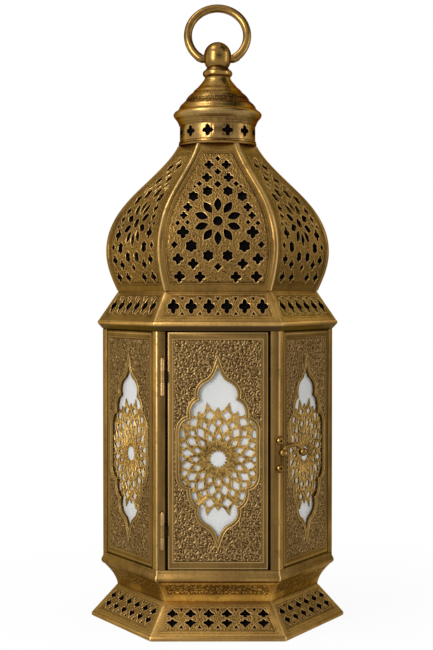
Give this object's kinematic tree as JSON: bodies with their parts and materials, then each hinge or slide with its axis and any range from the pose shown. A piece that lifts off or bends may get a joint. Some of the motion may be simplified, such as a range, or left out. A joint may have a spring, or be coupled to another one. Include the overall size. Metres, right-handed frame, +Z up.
{
  "type": "candle lantern",
  "caption": "Six-sided pierced brass lantern with an onion dome, cartouche windows over frosted panes, a hinged door with a turning latch, a candle cup and a bail ring.",
  "frame": {"origin": "middle of the foot's outline on the surface the lantern stands on", "axes": "+Z up along the lantern's axis, -Y out of the door, +X to the right of the door seen from the front, corners of the hexagon on +X and -X"},
  "size_m": [0.1824, 0.158, 0.4416],
  "materials": {
    "brass": "antiqued, embossed and pierced",
    "pale_brass": "satin, worn bright on the edges",
    "dark_brass": "dull inner face",
    "frosted_glass": "frosted pale grey-white"
  },
  "bodies": {
    "lantern": {"foot_rim": "brass", "base_panels": "brass", "cove_band": "brass", "bottom_rail": "pale_brass", "floor_tray": "dark_brass", "candle_cup": "brass", "post_right": "pale_brass", "post_back_right": "pale_brass", "post_back_left": "pale_brass", "post_left": "pale_brass", "post_front_left": "pale_brass", "post_front_right": "pale_brass", "top_rail": "dark_brass", "cornice_moulding": "pale_brass", "cornice_panels": "brass", "dome_panel_front": "brass", "dome_panel_right_front": "brass", "dome_panel_right_back": "brass", "dome_panel_back": "brass", "dome_panel_left_back": "brass", "dome_panel_left_front": "brass", "dome_ribs": "pale_brass", "dome_collar": "pale_brass", "vent_gallery": "brass", "crown_cap": "brass", "finial": "pale_brass", "finial_nut": "dark_brass", "side_panel_right_front": "brass", "side_panel_right_back": "brass", "side_panel_back": "brass", "side_panel_left_back": "brass", "side_panel_left_front": "brass", "side_grille_right_front": "pale_brass", "side_grille_right_back": "pale_brass", "side_grille_back": "pale_brass", "side_grille_left_back": "pale_brass", "side_grille_left_front": "pale_brass", "side_glass_right_front": "frosted_glass", "side_glass_right_back": "frosted_glass", "side_glass_back": "frosted_glass", "side_glass_left_back": "frosted_glass", "side_glass_left_front": "frosted_glass", "hinge_post_leaves": "brass", "hinge_pins": "pale_brass", "latch_plate": "brass", "latch_rivets": "pale_brass", "latch_pivot": "pale_brass"},
    "door": {"door_panel": "brass", "door_grille": "pale_brass", "door_glass": "frosted_glass", "hinge_door_leaves": "brass"},
    "latch": {"latch_lever": "brass"},
    "bail": {"bail_ring": "pale_brass"}
  },
  "joints": [
    {"name": "door_hinge", "type": "hinge", "parent": "lantern", "child": "door", "pos_m": [-0.03724, -0.07332, 0.125], "axis": [0, 0, -1], "range_deg": [0, 110]},
    {"name": "latch_turn", "type": "hinge", "parent": "lantern", "child": "latch", "pos_m": [0.04378, -0.07582, 0.12593], "axis": [0.5, -0.866, 0], "range_deg": [0, 180]},
    {"name": "bail_swing", "type": "hinge", "parent": "lantern", "child": "bail", "pos_m": [0, 0, 0.4007], "axis": [1, 0, 0], "range_deg": [-100, 130]}
  ]
}
